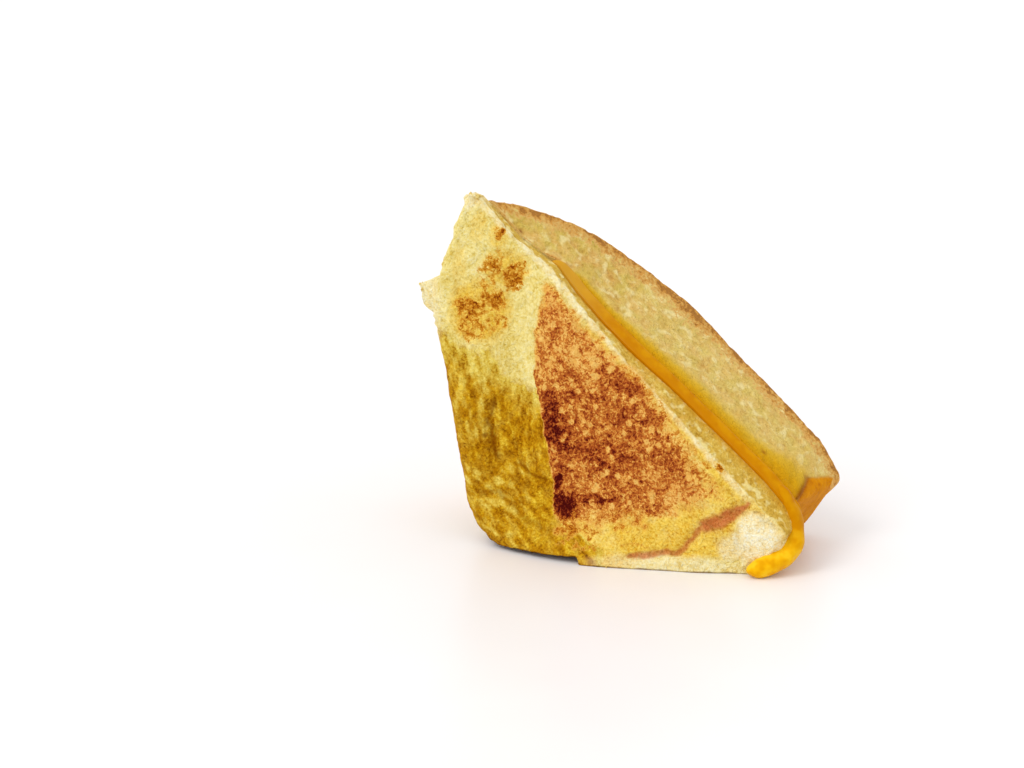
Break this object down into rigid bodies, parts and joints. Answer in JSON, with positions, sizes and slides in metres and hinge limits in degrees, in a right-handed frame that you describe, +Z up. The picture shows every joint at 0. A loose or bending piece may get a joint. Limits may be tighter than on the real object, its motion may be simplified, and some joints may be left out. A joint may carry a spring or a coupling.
{
  "type": "grilled cheese sandwich half",
  "caption": "Diagonal half of a griddled cheese sandwich standing on its crust, with browned soft bread and melted cheese running out of the cut.",
  "frame": {"origin": "middle of the bounding box, on the ground the sandwich stands on", "axes": "+Z up, -Y out of the griddled face, +X along the ground towards the low end of the cut"},
  "size_m": [0.1058, 0.0474, 0.0918],
  "materials": {
    "griddled_bread": "soft buttered bread crumb, browned in patches on the griddled face",
    "melted_cheese": "smooth melted cheese with a soft sheen",
    "crumb_bread": "open pale crumb on the cut, thin browned crust outside"
  },
  "bodies": {
    "root": {"front_bread": "griddled_bread", "cheese": "melted_cheese", "back_bread": "crumb_bread"}
  },
  "joints": []
}
